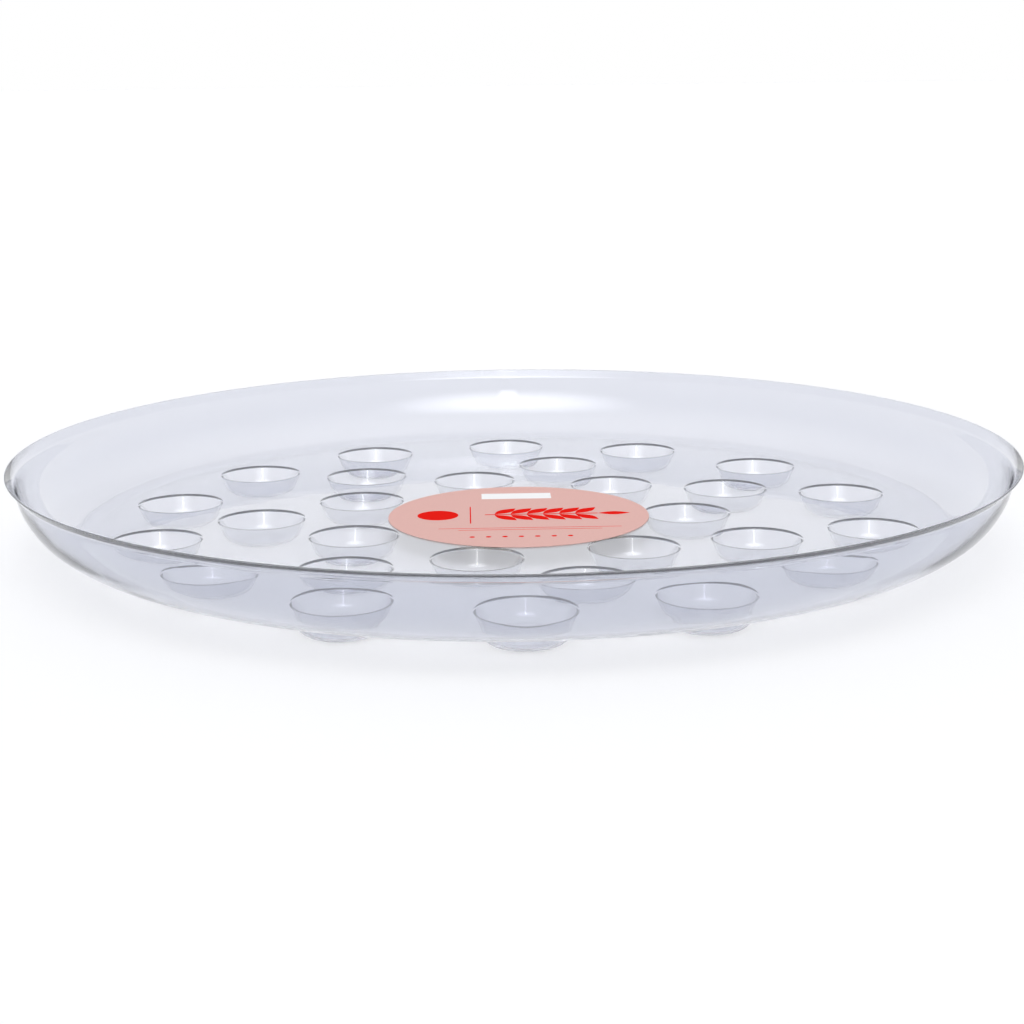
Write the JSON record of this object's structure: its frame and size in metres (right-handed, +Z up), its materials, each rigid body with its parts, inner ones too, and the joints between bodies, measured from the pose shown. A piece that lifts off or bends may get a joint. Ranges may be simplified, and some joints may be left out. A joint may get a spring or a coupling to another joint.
{
  "type": "plant saucer",
  "caption": "Round clear plastic plant saucer: a shallow pan with a flared lip, standing on hollow cups drawn down from its floor, with a round paper label stuck inside.",
  "frame": {"origin": "centre of the plane that the undersides of the foot cups stand on", "axes": "+Z up out of the pan, -Y towards the foot cup that is nearest to the viewer in the picture, +X to the viewer's right"},
  "size_m": [0.4064, 0.4064, 0.0393],
  "materials": {
    "clear_vinyl": "clear gloss",
    "label_paper": "matt print",
    "label_glue": "dull"
  },
  "bodies": {
    "root": {"saucer": "clear_vinyl", "label_paper": "label_paper", "label_glue": "label_glue"}
  },
  "joints": []
}
